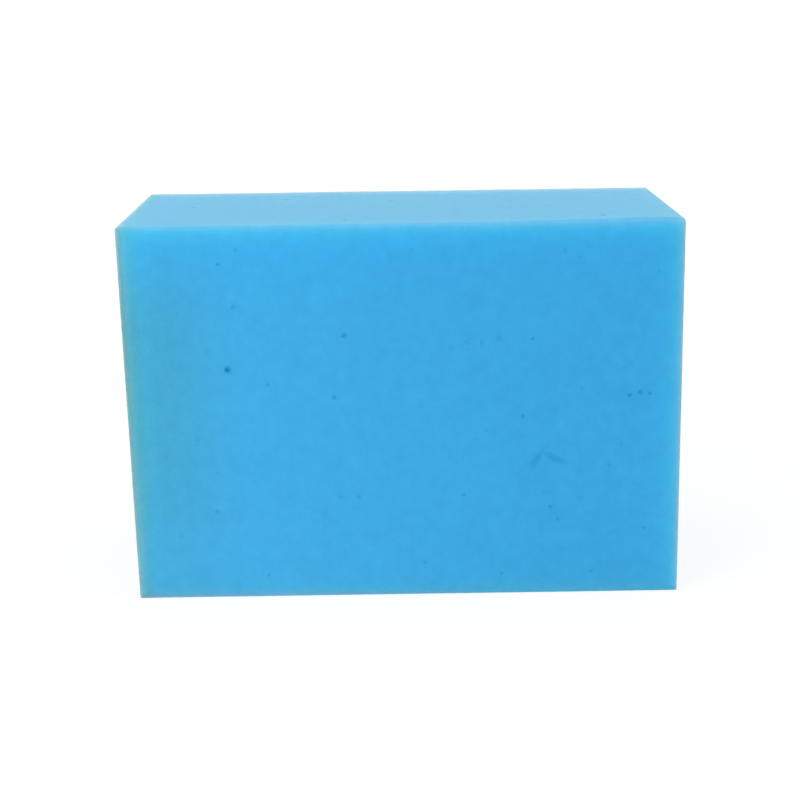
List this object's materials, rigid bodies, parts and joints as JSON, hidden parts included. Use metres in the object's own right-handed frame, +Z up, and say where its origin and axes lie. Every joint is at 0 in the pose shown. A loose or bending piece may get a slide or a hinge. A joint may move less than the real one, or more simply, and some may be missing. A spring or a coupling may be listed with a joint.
{
  "type": "plastering sponge",
  "caption": "Rectangular block of fine open-cell foam, held by hand to wet and smooth fresh plaster or filler.",
  "frame": {"origin": "middle of the long narrow side that the block stands on", "axes": "+X along the block's length, +Y from the front face to the back face through its thickness, +Z up"},
  "size_m": [0.165, 0.07, 0.115],
  "materials": {
    "foam": "fine open-cell polyurethane foam, saw cut, soft and matt"
  },
  "bodies": {
    "root": {"foam_block": "foam"}
  },
  "joints": []
}
